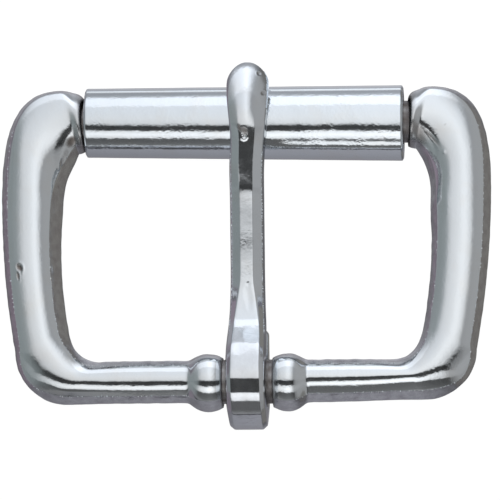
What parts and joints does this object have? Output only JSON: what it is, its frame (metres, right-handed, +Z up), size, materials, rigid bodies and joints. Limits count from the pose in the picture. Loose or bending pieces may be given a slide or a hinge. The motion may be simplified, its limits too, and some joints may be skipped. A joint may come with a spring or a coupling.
{
  "type": "roller buckle",
  "caption": "Plated roller buckle with a cast frame, a turning tube on the top bar, and a prong that swings on the heel bar between ball collars.",
  "frame": {"origin": "middle of the buckle's box, on the surface that it lies on", "axes": "+X to the right along the bars, +Y from the heel bar to the roller, +Z up through the front; the buckle lies on its back on the roller and on the eye of the prong"},
  "size_m": [0.0534, 0.0401, 0.0105],
  "materials": {
    "frame_plate": "polished nickel plate over a zinc casting, with rough parting lines",
    "roller_plate": "bright plate on rolled sheet steel",
    "prong_plate": "bright plate on formed steel, with small hammer facets"
  },
  "bodies": {
    "frame": {"frame": "frame_plate"},
    "roller": {"roller": "roller_plate"},
    "prong": {"prong": "prong_plate"}
  },
  "joints": [
    {"name": "roller_spin", "type": "hinge", "parent": "frame", "child": "roller", "pos_m": [0, 0.01373, 0.00413], "axis": [1, 0, 0], "continuous": true},
    {"name": "prong_swing", "type": "hinge", "parent": "frame", "child": "prong", "pos_m": [0.0003, -0.01485, 0.0052], "axis": [1, 0, 0], "range_deg": [0, 330]}
  ]
}
